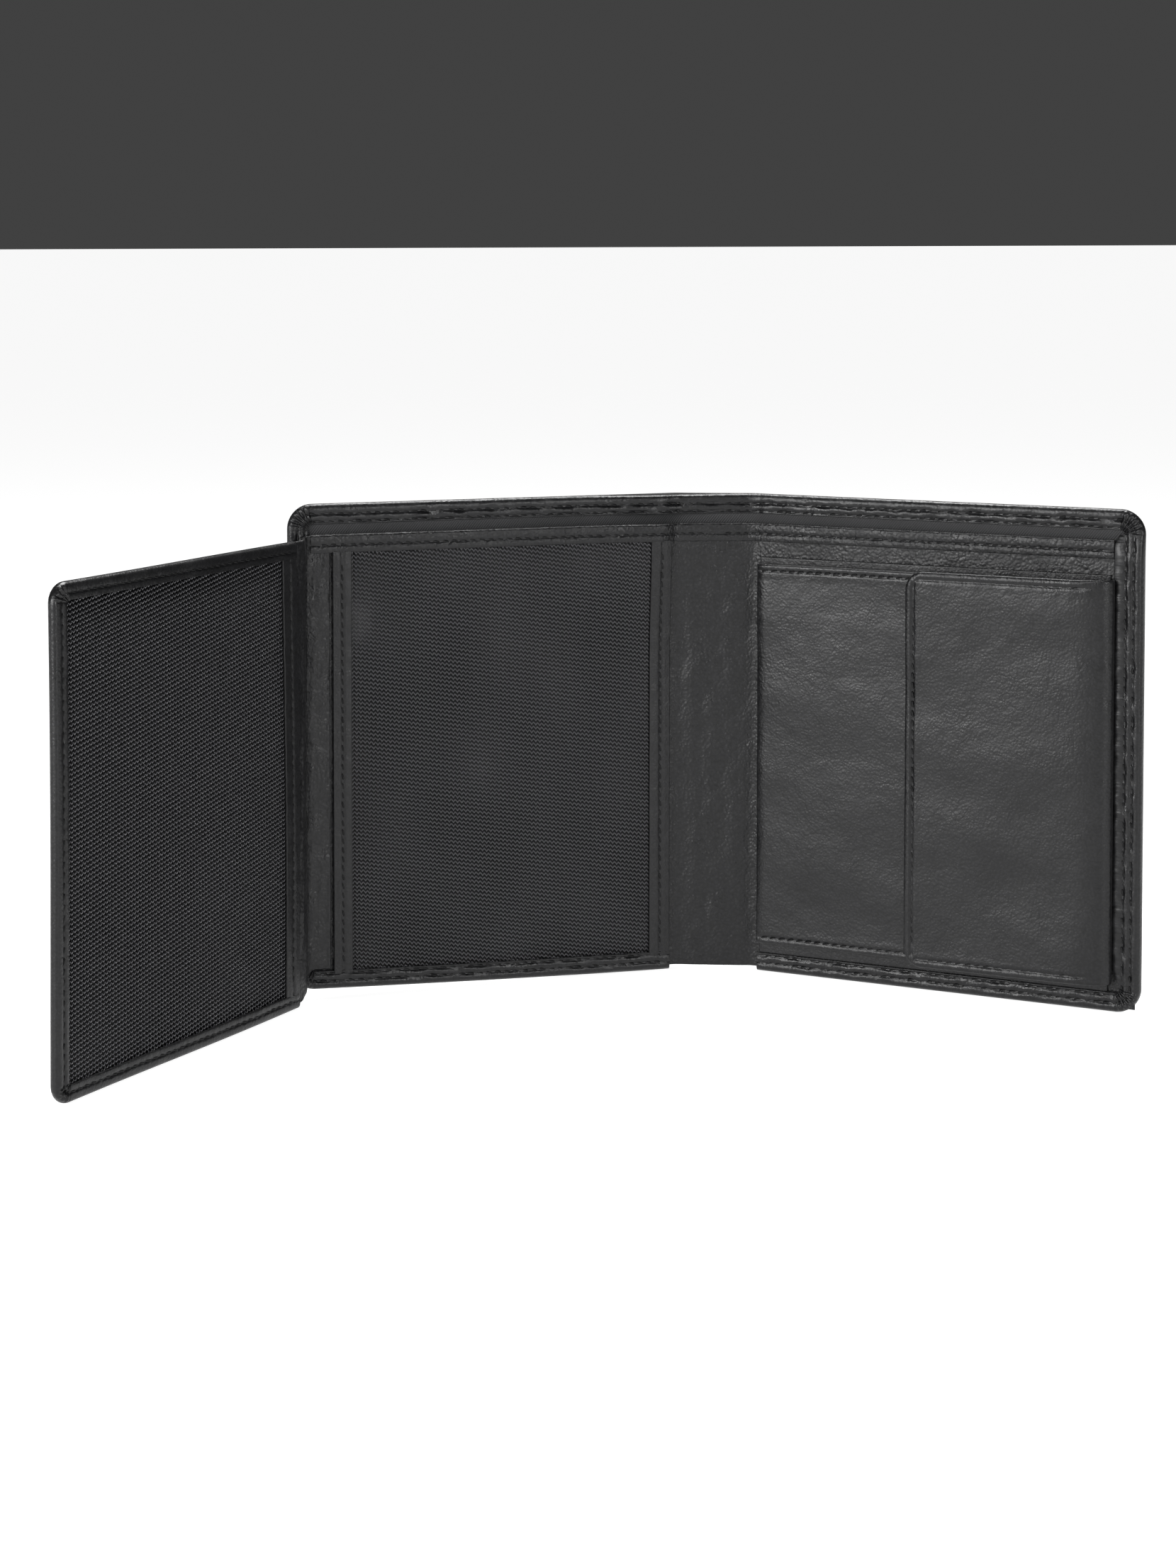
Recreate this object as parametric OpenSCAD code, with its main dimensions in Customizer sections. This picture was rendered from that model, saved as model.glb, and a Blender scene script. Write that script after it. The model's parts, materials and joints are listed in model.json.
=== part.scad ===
// Trifold leather wallet, standing half open on its lower edges.
// A cover of two panels and a spine holds a banknote compartment, a mesh window,
// a coin pouch with a side flap, and a swing-out wing with a second mesh window.
// Each panel is drawn flat: s runs from its fold towards its free edge, u is the depth
// from the outer face towards the inside, and z is up. A body then turns into its place.

/* [Wallet] */
// Height of the cover
cover_h = 120; // [100:1:140]
// Width of each cover panel, from its fold to its free edge
panel_w = 98.5; // [94:0.5:120]
// Width of the spine between its two folds
spine_w = 20; // [20:0.5:26]
// Angle of each spine fold from flat, as the wallet stands
open_fold = 20.5; // [5:0.5:40]
// Radius of the free corners of the cover
corner_r = 6; // [4:0.5:10]

/* [Leather] */
// Thickness of the cover leather
cover_t = 1.0; // [0.8:0.1:1.2]
// Thickness of the thinner leather inside
inner_t = 0.7; // [0.5:0.1:0.8]
// Width of the turned edge along the cover
hem_w = 4.9; // [4:0.1:6]
// Width of the turned edge down the right-hand side
side_hem_w = 7; // [5:0.5:8]

/* [Banknote compartment] */
// Height of the divider in front of the banknotes
divider_h = 112.8; // [90:0.2:113]
// Width of the binding along the top of the divider
binding_w = 4.5; // [3:0.5:6]

/* [Wing] */
// Distance from the hinge to the free edge of the wing
wing_w = 91.5; // [80:0.5:91.5]
// Height of the wing
wing_h = 112; // [90:1:114]
// Angle between the closed wing and where it stands
wing_open = 137.3; // [60:0.1:170]
// Width of the leather border round the mesh
border_w = 4; // [3:0.5:6]

/* [Coin pouch] */
// Height of the coin pouch
pouch_h = 95; // [70:1:96]
// Height of the pouch above the table
pouch_z = 8; // [6:0.5:10]
// Distance from the right fold to the free edge of the coin flap
flap_s = 41.8; // [30:0.2:60]
// Diameter of the hidden press stud
stud_d = 9; // [8:0.5:12]

/* [Hidden] */
$fn = 48;

black = [0.09, 0.09, 0.095];
charcoal = [0.13, 0.13, 0.135];
cloth = [0.05, 0.05, 0.055];
net = [0.2, 0.2, 0.21];
board = [0.4, 0.37, 0.33];
thread = [0.03, 0.03, 0.03];
nickel = [0.7, 0.7, 0.68];

// Depths of the layers, from the outer face inwards
board_t = 0.4;
lining_t = 0.3;
mesh_t = 0.35;
lining_u = cover_t + board_t;
top_hem_u = lining_u + lining_t;
divider_u = top_hem_u + 0.4;
divider_t = 0.8;
divider_face_u = divider_u + divider_t;
mesh_u = divider_face_u + 0.1;
strip_u = mesh_u + mesh_t + 0.05;
left_face_u = strip_u + inner_t;
slip_u = divider_face_u + 0.1;
slip_t = 0.6;
pouch_u = slip_u + slip_t + 0.1;
pouch_room = 1.6;
pouch_back_t = 0.6;
pouch_front_u = pouch_u + pouch_back_t + pouch_room;
pouch_face_u = pouch_front_u + inner_t;
flap_lining_u = pouch_face_u + 0.5;
flap_lining_t = 0.4;
flap_u = flap_lining_u + flap_lining_t;
flap_t = 0.8;

// Folds: the cover leather stops short of each fold line, and thicker stacks stop further off
fold_u = cover_t / 2;
cover_gap = 0.8;
lining_gap = 2.2;
stack_gap = 2;
divider_gap = 1.6;
spine_stack_gap = 4.2;
edge = 0.9;

// Mesh window on the left panel
id_outer_s = 88;
id_strip_w = 4.7;
id_inner_s = 2;
id_inner_w = 5.6;

// Wing, drawn closed: w runs from the hinge, and v is the depth from the hinge line
wing_axis_s = 95.5;
wing_axis_u = 6.2;
wing_start = 4.5;
wing_strip_w = 5.4;
wing_v = -1.5;
wing_mesh_v = wing_v + inner_t;
wing_board_v = -0.2;
wing_back_v = 0.2;
wing_back_t = 0.8;
slot_t = 0.5;
slot_lift = 14;
slot_front_h = 51;
band_t = 0.8;
root_s = 88.5;

// Coin pouch and flap
pouch_s0 = 2.8;
pouch_s1 = 90.8;
flap_axis_s = 91;
flap_axis_u = 6.2;
flap_end_s = flap_axis_s - 1.8;
flap_r = 4.5;
stud_s = flap_s + 7;
stud_z = pouch_z + pouch_h / 2;
stud_gap = 0.5;

// Stitching
seam_d = 0.4;
seam_t = 0.15;
first_row = 2.4;
second_row = 4.3;

// The origin is under the middle of the standing wallet
function turned(p, a) = [p.x * cos(a) - p.y * sin(a), p.x * sin(a) + p.y * cos(a)];
function on_spine_at(s, u) = [0, -fold_u] + turned([s, fold_u - u], -open_fold);
function on_right_at(s, u) = on_spine_at(spine_w, fold_u) + turned([s, fold_u - u], -2 * open_fold);
function on_wing_at(w, v) = [-wing_axis_s, -wing_axis_u] + turned([w, -v], -wing_open);
x_low = on_wing_at(wing_w, wing_back_v + wing_back_t).x;
x_high = on_right_at(panel_w, 0).x;
y_low = min(on_wing_at(wing_w, wing_v).y, on_right_at(panel_w, slip_u + inner_t).y);
middle = [(x_low + x_high) / 2, y_low / 2];

// Places of the bodies
module on_left() {
    translate([-middle.x, -middle.y, 0]) mirror([1, 0, 0]) children();
}
module on_spine() {
    translate([-middle.x, -middle.y - fold_u, 0]) rotate([0, 0, -open_fold])
        translate([0, fold_u, 0]) children();
}
module on_right() {
    on_spine() translate([spine_w, -fold_u, 0]) rotate([0, 0, -open_fold])
        translate([0, fold_u, 0]) children();
}
module on_wing() {
    translate([-middle.x - wing_axis_s, -middle.y - wing_axis_u, 0])
        rotate([0, 0, -wing_open]) children();
}

// A flat outline drawn in s and z becomes a sheet from depth u to u + t
module sheet(u, t) {
    translate([0, -u, 0]) rotate([90, 0, 0]) linear_extrude(height = t) children();
}
module area(s0, s1, z0, z1) {
    translate([s0, z0]) square([s1 - s0, z1 - z0]);
}
// Outline with its two free corners rounded, from s0 to s1 and z0 to z1
module free_outline(s0, s1, z0, z1, r) {
    area(s0, s1 - r, z0, z1);
    area(s0, s1, z0 + r, z1 - r);
    translate([s1 - r, z0 + r]) circle(r);
    translate([s1 - r, z1 - r]) circle(r);
}
// Outline of a cover panel, drawn in from its edges by inset
module panel_outline(s0, inset) {
    free_outline(s0, panel_w - inset, inset, cover_h - inset, corner_r - inset);
}
// Rim of a panel's outline, as wide as the turned leather is thick
module panel_rim() {
    difference() {
        panel_outline(lining_gap, 0);
        panel_outline(0, edge);
    }
}
// Turned edge of a cover panel inside an area: a flat strip, and a rim that wraps the layers
module turned_edge(u, s0, s1, z0, z1) {
    sheet(u, inner_t) intersection() {
        panel_outline(lining_gap, 0);
        area(s0, s1, z0, z1);
    }
    sheet(cover_t, u - cover_t) intersection() {
        panel_rim();
        area(s0, s1, z0, z1);
    }
}
module row_along(s0, s1, z) {
    area(s0, s1, z - seam_d / 2, z + seam_d / 2);
}
module row_up(s, z0, z1) {
    area(s - seam_d / 2, s + seam_d / 2, z0, z1);
}

// Pieces that both cover panels have
module cover_panel() {
    color(black) sheet(0, cover_t) panel_outline(cover_gap, 0);
}
module stiffener_panel() {
    color(board) sheet(cover_t, board_t) area(3.5, 93, 5.5, cover_h - 5.5);
}
module lining_panel() {
    color(cloth) sheet(lining_u, lining_t) panel_outline(lining_gap, edge);
}
module top_hem_panel() {
    color(black) turned_edge(top_hem_u, lining_gap, panel_w, cover_h - hem_w, cover_h);
}

// Left panel
module left_cover() { on_left() cover_panel(); }
module left_stiffener() { on_left() stiffener_panel(); }
module left_lining() { on_left() lining_panel(); }
module left_top_hem() { on_left() top_hem_panel(); }
module left_side_hem() {
    on_left() color(black)
        turned_edge(top_hem_u, panel_w - hem_w, panel_w, hem_w, cover_h - hem_w);
}
module left_bottom_hem() {
    on_left() color(black) turned_edge(strip_u, lining_gap, panel_w, 0, hem_w);
}
module left_divider() {
    on_left() color(charcoal) sheet(divider_u, divider_t) area(divider_gap, 93.3, 1, divider_h);
}
module left_binding() {
    on_left() color(black) sheet(strip_u, inner_t)
        area(divider_gap, id_outer_s, divider_h - binding_w, divider_h);
}
module id_mesh() {
    on_left() color(net) sheet(mesh_u, mesh_t)
        area(id_inner_s + 0.5, id_outer_s - 0.5, 1, divider_h - 0.8);
}
module id_outer_strip() {
    on_left() color(charcoal) sheet(strip_u, inner_t)
        area(id_outer_s - id_strip_w, id_outer_s, hem_w, divider_h - binding_w);
}
module id_inner_strip() {
    on_left() color(charcoal) sheet(strip_u, inner_t)
        area(id_inner_s, id_inner_s + id_inner_w, hem_w, divider_h - binding_w);
}
// Hinge leather of the wing, sewn to the left panel, with a lip that reaches the hinge line
module band_root() {
    lip_s = wing_axis_s - band_t / 2;
    on_left() color(charcoal) {
        sheet(divider_face_u, 0.5) area(root_s, lip_s, hem_w, divider_h);
        sheet(divider_face_u, wing_axis_u - 0.7 - divider_face_u)
            area(lip_s, lip_s + band_t, hem_w, divider_h);
    }
}
module left_threads() {
    on_left() color(thread) {
        sheet(top_hem_u + inner_t, seam_t) {
            row_along(4, panel_w - corner_r, cover_h - first_row);
            row_along(4, panel_w - corner_r, cover_h - second_row);
        }
        sheet(strip_u + inner_t, seam_t) {
            row_along(4, panel_w - corner_r, first_row);
            row_along(4, panel_w - corner_r, second_row);
            row_along(4, id_outer_s - 1, divider_h - 2.6);
        }
    }
}

// Spine
module spine_area(gap, z0, z1) {
    area(gap, spine_w - gap, z0, z1);
}
module spine_cover() {
    on_spine() color(black) sheet(0, cover_t) spine_area(cover_gap, 1, cover_h);
}
module spine_lining() {
    on_spine() color(cloth) sheet(lining_u, lining_t) spine_area(lining_gap, 1, cover_h - edge);
}
module spine_top_hem() {
    on_spine() color(black) {
        sheet(top_hem_u, inner_t) spine_area(lining_gap, cover_h - hem_w, cover_h);
        sheet(cover_t, top_hem_u - cover_t) spine_area(lining_gap, cover_h - edge, cover_h);
    }
}
module spine_divider() {
    on_spine() color(charcoal) sheet(divider_u, divider_t) spine_area(spine_stack_gap, 1, divider_h);
}
module spine_binding() {
    on_spine() color(black) sheet(divider_face_u, inner_t)
        spine_area(spine_stack_gap, divider_h - binding_w, divider_h);
}
module spine_threads() {
    on_spine() color(thread) {
        sheet(top_hem_u + inner_t, seam_t) {
            row_along(3, spine_w - 3, cover_h - first_row);
            row_along(3, spine_w - 3, cover_h - second_row);
        }
        sheet(divider_face_u + inner_t, seam_t) row_along(5, spine_w - 5, divider_h - 2.6);
    }
}

// Right panel
module right_cover() { on_right() cover_panel(); }
module right_stiffener() { on_right() stiffener_panel(); }
module right_lining() { on_right() lining_panel(); }
module right_top_hem() { on_right() top_hem_panel(); }
module right_side_hem() {
    on_right() color(black)
        turned_edge(slip_u, panel_w - side_hem_w, panel_w, hem_w, cover_h - hem_w);
}
module right_bottom_hem() {
    on_right() color(black) turned_edge(slip_u, lining_gap, panel_w, 0, hem_w);
}
module right_divider() {
    on_right() color(charcoal) sheet(divider_u, divider_t) intersection() {
        panel_outline(0, edge + 0.2);
        area(divider_gap, panel_w, 1, divider_h);
    }
}
module right_binding() {
    on_right() color(black) sheet(divider_face_u, inner_t)
        area(divider_gap + 1, panel_w - side_hem_w, divider_h - binding_w, divider_h);
}
module slip_pocket() {
    on_right() color(charcoal) sheet(slip_u, slip_t) area(pouch_s0, pouch_s1, hem_w + 0.1, 104.5);
}
module pouch_area(inset) {
    area(pouch_s0 + inset, pouch_s1 - inset, pouch_z + inset, pouch_z + pouch_h);
}
module pouch_back() {
    on_right() color(charcoal) sheet(pouch_u, pouch_back_t) pouch_area(0);
}
// Side and bottom walls of the pouch
module pouch_gusset() {
    on_right() color(charcoal) sheet(pouch_u + pouch_back_t, pouch_room) difference() {
        pouch_area(0);
        translate([0, 1]) pouch_area(inner_t);
    }
}
// Strip behind the pouch's mouth
module pouch_facing() {
    on_right() color(charcoal) sheet(pouch_front_u - 0.4, 0.4)
        area(pouch_s0 + 1, pouch_s1 - 1, pouch_z + pouch_h - 8, pouch_z + pouch_h - 0.5);
}
module pouch_front() {
    on_right() color(black) sheet(pouch_front_u, inner_t) difference() {
        pouch_area(0);
        translate([stud_s, stud_z]) circle(d = 2.4);
    }
}
// Half of the press stud on the pouch: a flange behind the leather, a shank and a head
module stud_post() {
    on_right() color(nickel) {
        sheet(pouch_front_u - 0.4, 0.4) translate([stud_s, stud_z]) circle(d = 7);
        sheet(pouch_front_u, inner_t) translate([stud_s, stud_z]) circle(d = 2.4);
        sheet(pouch_face_u, 0.7) translate([stud_s, stud_z])
            circle(d = stud_d - 3.8 - 2 * stud_gap);
    }
}
// Leather that the coin flap turns on, sewn beside the side hem
module flap_root() {
    on_right() color(black) sheet(slip_u + inner_t, flap_axis_u - 0.2 - slip_u - inner_t)
        area(pouch_s1 + 0.1, pouch_s1 + 1, pouch_z - 1, pouch_z + pouch_h);
}
module right_threads() {
    on_right() color(thread) {
        sheet(top_hem_u + inner_t, seam_t) {
            row_along(4, panel_w - corner_r, cover_h - first_row);
            row_along(4, panel_w - corner_r, cover_h - second_row);
        }
        sheet(slip_u + inner_t, seam_t) {
            row_along(4, panel_w - corner_r, first_row);
            row_along(4, panel_w - corner_r, second_row);
            row_up(panel_w - first_row, corner_r, cover_h - corner_r);
            row_up(panel_w - second_row, corner_r, cover_h - corner_r);
        }
        sheet(divider_face_u + inner_t, seam_t)
            row_along(4, panel_w - side_hem_w - 1, divider_h - 2.6);
        sheet(pouch_face_u, seam_t) {
            row_along(4, flap_s - 2, pouch_z + pouch_h - 1.6);
            row_along(4, flap_s - 2, pouch_z + 1.6);
        }
    }
}

// Coin flap
module flap_outline(inset) {
    translate([flap_end_s, 0]) mirror([1, 0])
        free_outline(0, flap_end_s - flap_s - inset, pouch_z - 1 + inset,
            pouch_z + pouch_h + 0.5 - inset, flap_r - inset);
}
module flap_leather() {
    on_right() color(black) sheet(flap_u, flap_t) flap_outline(0);
}
module flap_lining() {
    on_right() color(charcoal) sheet(flap_lining_u, flap_lining_t) difference() {
        flap_outline(0.3);
        translate([stud_s, stud_z]) circle(d = stud_d);
    }
}
module stud_socket() {
    on_right() color(nickel) sheet(flap_u - 0.6, 0.6) translate([stud_s, stud_z]) difference() {
        circle(d = stud_d);
        circle(d = stud_d - 3.8);
    }
}
module flap_threads() {
    on_right() color(thread) sheet(flap_u + flap_t, seam_t) {
        row_up(flap_s + 2, pouch_z + 4, pouch_z + pouch_h - 4);
        row_along(flap_s + flap_r, flap_end_s, pouch_z + 1);
        row_along(flap_s + flap_r, flap_end_s, pouch_z + pouch_h - 1.5);
    }
}

// Wing
module wing_outline(inset) {
    free_outline(wing_start, wing_w - inset, inset, wing_h - inset, 4.5 - inset);
}
module wing_window() {
    area(wing_start - 1, wing_w - border_w, border_w, wing_h - border_w);
}
module wing_border() {
    on_wing() color(black) {
        sheet(wing_v, inner_t) difference() {
            wing_outline(0);
            wing_window();
        }
        sheet(wing_mesh_v, wing_back_v - wing_mesh_v) difference() {
            wing_outline(0);
            wing_outline(edge);
            area(wing_start - 1, wing_start + 1, edge, wing_h - edge);
        }
    }
}
module wing_mesh() {
    on_wing() color(net) sheet(wing_mesh_v, mesh_t)
        area(wing_start + 0.5, wing_w - edge - 1.5, edge + 1.5, wing_h - edge - 1.5);
}
module wing_strip() {
    on_wing() color(charcoal) sheet(wing_v, inner_t)
        area(wing_start, wing_start + wing_strip_w, border_w, wing_h - border_w);
}
module wing_board() {
    on_wing() color(board) sheet(wing_board_v, wing_back_v - wing_board_v)
        area(wing_start + 0.5, wing_w - edge - 1.5, edge + 1.5, wing_h - edge - 1.5);
}
module wing_back() {
    on_wing() color(black) sheet(wing_back_v, wing_back_t) wing_outline(0);
}
// Hinge leather of the wing, from near the hinge line to the wing's edge
module wing_band() {
    on_wing() color(charcoal) sheet(-band_t / 2, band_t) area(1, wing_start, 1, wing_h);
}
// Card slots on the back, each a layer of leather in front of the one above
module card_slot(level) {
    on_wing() color(charcoal) sheet(wing_back_v + wing_back_t + level * slot_t, slot_t)
        area(wing_start + 3, wing_w - 3, 4, 4 + slot_front_h + (2 - level) * slot_lift);
}
module card_slot_back() { card_slot(0); }
module card_slot_middle() { card_slot(1); }
module card_slot_front() { card_slot(2); }
module wing_threads() {
    on_wing() color(thread) sheet(wing_v - seam_t, seam_t) {
        row_along(wing_start + 1, wing_w - 4.5, 2.4);
        row_along(wing_start + 1, wing_w - 4.5, wing_h - 2.4);
        row_up(wing_w - 2.4, 4.5, wing_h - 4.5);
        row_up(wing_start + 2.7, border_w, wing_h - border_w);
    }
}

left_cover();
left_stiffener();
left_lining();
left_top_hem();
left_side_hem();
left_bottom_hem();
left_divider();
left_binding();
id_mesh();
id_outer_strip();
id_inner_strip();
band_root();
left_threads();
spine_cover();
spine_lining();
spine_top_hem();
spine_divider();
spine_binding();
spine_threads();
right_cover();
right_stiffener();
right_lining();
right_top_hem();
right_side_hem();
right_bottom_hem();
right_divider();
right_binding();
slip_pocket();
pouch_back();
pouch_gusset();
pouch_facing();
pouch_front();
stud_post();
flap_root();
right_threads();
flap_leather();
flap_lining();
stud_socket();
flap_threads();
wing_border();
wing_mesh();
wing_strip();
wing_board();
wing_back();
wing_band();
card_slot_back();
card_slot_middle();
card_slot_front();
wing_threads();
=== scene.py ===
import json
import math

import bmesh
import bpy
import numpy as np
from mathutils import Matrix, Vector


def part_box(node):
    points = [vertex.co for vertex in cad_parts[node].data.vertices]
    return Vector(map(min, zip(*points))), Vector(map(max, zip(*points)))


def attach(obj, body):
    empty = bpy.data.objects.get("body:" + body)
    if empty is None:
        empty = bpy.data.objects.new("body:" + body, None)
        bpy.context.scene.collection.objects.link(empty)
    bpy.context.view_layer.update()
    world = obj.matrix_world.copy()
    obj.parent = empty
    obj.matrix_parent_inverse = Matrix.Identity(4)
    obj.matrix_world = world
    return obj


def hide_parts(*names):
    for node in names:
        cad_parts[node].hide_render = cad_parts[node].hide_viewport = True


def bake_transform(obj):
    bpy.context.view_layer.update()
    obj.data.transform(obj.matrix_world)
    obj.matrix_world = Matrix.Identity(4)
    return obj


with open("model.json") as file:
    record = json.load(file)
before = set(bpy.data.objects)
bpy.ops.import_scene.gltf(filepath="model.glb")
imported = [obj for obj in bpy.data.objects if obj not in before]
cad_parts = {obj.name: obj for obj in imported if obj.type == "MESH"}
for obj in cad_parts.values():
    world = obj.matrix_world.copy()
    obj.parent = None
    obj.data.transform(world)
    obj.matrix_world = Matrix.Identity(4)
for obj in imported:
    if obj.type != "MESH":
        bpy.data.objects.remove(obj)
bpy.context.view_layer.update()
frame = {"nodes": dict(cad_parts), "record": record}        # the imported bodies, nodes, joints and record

cameraLook = {
    "place": (-0.1934, -0.6207, 0.1894),   # metres
    "tilt": 87.33,                         # degrees from straight down
    "heading": -16.95,
    "lens": 63.97, "sensor": 36,           # millimetres
    "shift": (0.0134, -0.28),
    "clip": (0.01, 50),
}
cameraData = bpy.data.cameras.new("studio_camera")
cameraData.lens, cameraData.sensor_width = cameraLook["lens"], cameraLook["sensor"]
cameraData.shift_x, cameraData.shift_y = cameraLook["shift"]
cameraData.clip_start, cameraData.clip_end = cameraLook["clip"]
studioCamera = bpy.data.objects.new("studio_camera", cameraData)
studioCamera.location = cameraLook["place"]
studioCamera.rotation_euler = (math.radians(cameraLook["tilt"]), 0, math.radians(cameraLook["heading"]))
bpy.context.scene.collection.objects.link(studioCamera)
bpy.context.scene.camera = studioCamera
print("camera set")

# Leather is laid out flat in millimetres: x runs along the unrolled cover (left panel below 0,
# spine from 0 to spineWidth, right panel beyond), u is the depth from the outer face inwards,
# z is up. flatPlace and wingPlace turn such a point into the standing wallet, in metres.
joints = {j["name"]: j for j in frame["record"]["behaviour"]["joints"]}
leftFold, rightFold, wingHinge = (
    np.array(joints[name]["pos_m"][:2]) * 1000 for name in ("left_fold", "right_fold", "wing_fold"))
spineWidth = float(np.hypot(*(rightFold - leftFold)))
foldAngle = -math.atan2(*(rightFold - leftFold)[::-1])        # each fold's angle from flat
wingAngle = math.radians(joints["wing_fold"]["range_deg"][1])  # from the closed wing to where it stands
foldDepth = 0.5                                                # the folds turn in the middle of the cover leather
foldReach = 4.0                                                # how far a fold's bend spreads each side
millimetre = 0.001


def extent(*nodes):   # lowest and highest z of CAD nodes, in mm
    corners = [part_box(node) for node in nodes]
    return min(c[0].z for c in corners) * 1000, max(c[1].z for c in corners) * 1000


coverLow, coverHigh = extent("left_cover")
dividerLow, dividerHigh = extent("left_divider")
wingLow, wingHigh = extent("wing_border")
pouchLow, pouchHigh = extent("pouch_front")
flapLow, flapHigh = extent("flap_leather")
slipLow, slipHigh = extent("slip_pocket")
panelWidth = (leftFold[0] / 1000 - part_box("left_cover")[0].x) * 1000
drape = {
    "bottomLift": 2.4, "liftHeight": 45, "liftCurve": 1.4,   # the left panel's lower edge rises to its free corner
    "dividerBow": 2.2, "bowAlong": -3, "bowWidth": 11,       # the divider bows inwards beside the left fold
    "bowLow": 78, "bowDepth": 1.7, "bowStart": 0.4,          # from this height up, and only in front of the lining
}


def softStep(t):
    t = np.clip(t, 0, 1)
    return t * t * (3 - 2 * t)


def turn(a, b, angle):
    return a * np.cos(angle) - b * np.sin(angle), a * np.sin(angle) + b * np.cos(angle)


def flatPlace(x, u, z):
    x, u, z = np.broadcast_arrays(np.asarray(x, float), u, z)
    outward = np.clip(-x / panelWidth, 0, 1.1) ** drape["liftCurve"]
    lift = drape["bottomLift"] * outward * np.clip(1 - z / drape["liftHeight"], 0, 1)
    beside = np.exp(-((x - drape["bowAlong"]) / drape["bowWidth"]) ** 2)
    above = softStep((z - drape["bowLow"]) / (dividerHigh - drape["bowLow"]))
    bow = drape["dividerBow"] * beside * above * softStep((u - drape["bowDepth"]) / drape["bowStart"])
    u, z = u + bow, z + lift
    bendLeft = softStep((x + foldReach) / (2 * foldReach))
    bendRight = softStep((x - spineWidth + foldReach) / (2 * foldReach))
    a, b = turn(x - spineWidth, foldDepth - u, -foldAngle * bendRight)
    a, b = turn(a + spineWidth, b, -foldAngle * bendLeft)
    return np.stack([leftFold[0] + a, leftFold[1] + b, z], -1) * millimetre


wingLie = {"face": 1.0, "sag": 0.5, "width": 91, "ripple": 0.35, "pitch": (17, 31)}   # face: where its back lies


def wingPlace(w, u, z):   # u is the depth from the wing's back face
    w, u, z = np.broadcast_arrays(np.asarray(w, float), u, z)
    sag = wingLie["sag"] * np.sin(np.pi * w / wingLie["width"]) * np.sin(np.pi * z / wingHigh)
    sag = sag + wingLie["ripple"] * np.sin(w / wingLie["pitch"][0] + z / wingLie["pitch"][1])
    a, b = turn(w, u - wingLie["face"] + sag, -wingAngle)
    return np.stack([wingHinge[0] + a, wingHinge[1] + b, z], -1) * millimetre


def right(s):   # distance from the right fold to the flat x
    return spineWidth + s


def waver(a, b, size, seed):
    # a smooth random swell between about -1 and 1, with humps of that size in mm
    draw = np.random.default_rng(seed)
    total = 0
    for _ in range(7):
        heading, phase = draw.uniform(0, 2 * np.pi, 2)
        pitch = 2 * size * draw.uniform(0.6, 1.7)
        total = total + np.cos((a * np.cos(heading) + b * np.sin(heading)) * 2 * np.pi / pitch + phase)
    return total / 3.0


def quadGrid(index, flip=False):
    corners = [index[:-1, :-1], index[1:, :-1], index[1:, 1:], index[:-1, 1:]]
    return np.stack(corners[::-1] if flip else corners, -1).reshape(-1, 4)


def spreadLines(low, high, step, nearEdge):
    # grid lines: close together beside both edges, then evenly spaced
    nearEdge = np.array([n for n in nearEdge if n < (high - low) * 0.45])
    lows, highs = low + nearEdge, high - nearEdge[::-1]
    count = max(1, round((highs[0] - lows[-1]) / step))
    return np.concatenate([lows, np.linspace(lows[-1], highs[0], count + 1)[1:-1], highs])


def roundCorners(x, z, box, radii):
    x0, x1, z0, z1 = box
    x, z = x.copy(), z.copy()
    for name, r in (radii or {}).items():
        sx, sz = (1 if "right" in name else -1), (1 if "top" in name else -1)
        cx, cz = (x1 - r if sx > 0 else x0 + r), (z1 - r if sz > 0 else z0 + r)
        dx, dz = (x - cx) * sx / r, (z - cz) * sz / r
        inside = (dx > 0) & (dz > 0)
        dx, dz = dx[inside], dz[inside]
        reach = np.maximum(dx, dz)
        beyond = np.pi / 2 - np.pi / 4 * dx / np.maximum(dz, 1e-9)
        angle = np.where(dz >= dx, beyond, np.pi / 4 * dz / np.maximum(dx, 1e-9))
        x[inside] = cx + sx * r * reach * np.cos(angle)
        z[inside] = cz + sz * r * reach * np.sin(angle)
    return x, z


seam = {
    "pitch": 2.3, "groove": 0.12, "hole": 0.20, "width": 0.30, "puff": 0.08, "puffAt": 0.8, "puffWidth": 0.4,
    "overrun": 0.6, "lines": (-0.6, -0.3, 0, 0.3, 0.6), "gap": 0.12,   # grid lines beside a row, and their least gap
}


def seamRelief(x, z, seams):
    # leather dips under a row of stitches, most at the needle holes, and swells beside it
    total = np.zeros_like(x)
    for (xa, za), (xb, zb) in seams:
        length = math.hypot(xb - xa, zb - za)
        ux, uz = (xb - xa) / length, (zb - za) / length
        along, off = (x - xa) * ux + (z - za) * uz, (z - za) * ux - (x - xa) * uz
        inside = (along > -seam["overrun"]) & (along < length + seam["overrun"])
        hole = (0.5 + 0.5 * np.cos(2 * np.pi * along / seam["pitch"])) ** 2
        beside = np.exp(-((np.abs(off) - seam["puffAt"]) / seam["puffWidth"]) ** 2)
        dip = np.exp(-(off / seam["width"]) ** 2) * (seam["groove"] + seam["hole"] * hole)
        total += inside * (seam["puff"] * beside - dip)
    return total


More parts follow.
